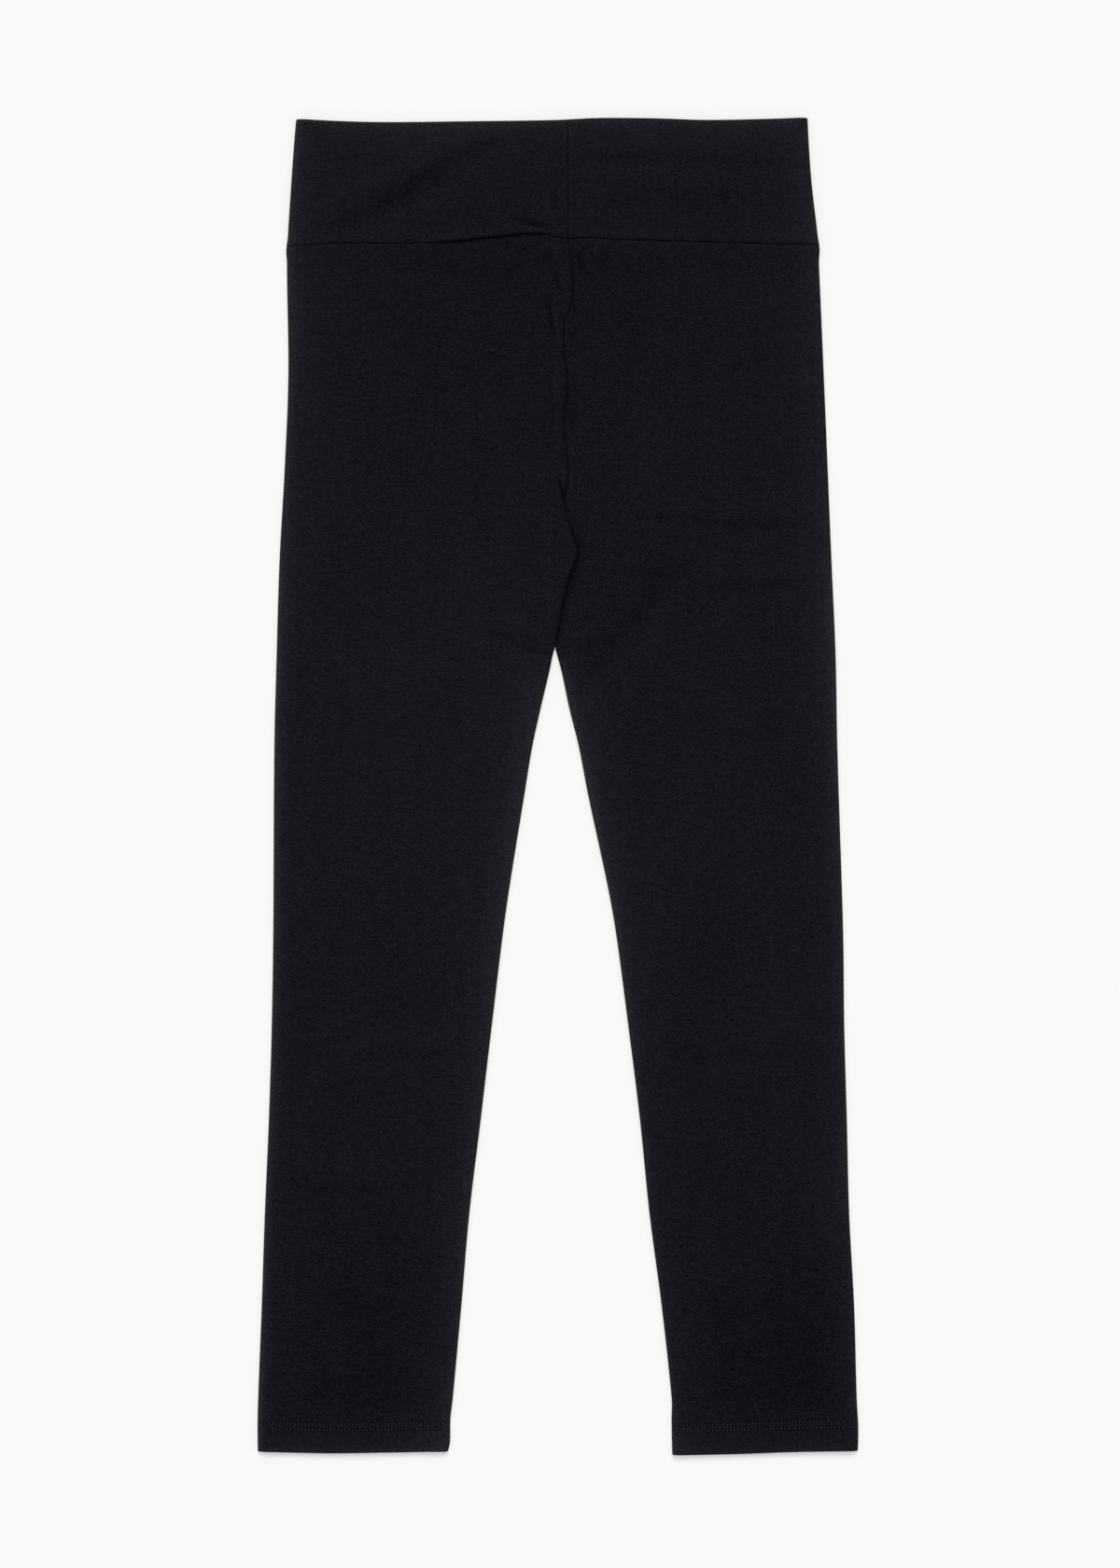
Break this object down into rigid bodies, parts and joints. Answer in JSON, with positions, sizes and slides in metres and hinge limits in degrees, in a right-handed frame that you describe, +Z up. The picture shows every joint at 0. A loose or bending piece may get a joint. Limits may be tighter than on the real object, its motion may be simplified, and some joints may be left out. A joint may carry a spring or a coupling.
{
  "type": "leggings",
  "caption": "Full-length high-waisted jersey leggings laid flat with the front up: two legs with turned-up hems and a deep double waistband with a centre seam.",
  "frame": {"origin": "centre of the garment's outline on the surface that it lies on", "axes": "+X across the garment to the wearer's left with the front up, +Y along it towards the waist, +Z up from the surface"},
  "size_m": [0.4365, 0.9711, 0.0061],
  "materials": {
    "leg_jersey": "matt black cotton and elastane single jersey with a faint short nap",
    "waistband_jersey": "the same black jersey, doubled, matt",
    "sewing_thread": "black spun polyester sewing thread with a slight sheen"
  },
  "bodies": {
    "root": {"right_leg": "leg_jersey", "left_leg": "leg_jersey", "right_waistband": "waistband_jersey", "left_waistband": "waistband_jersey"}
  },
  "joints": []
}
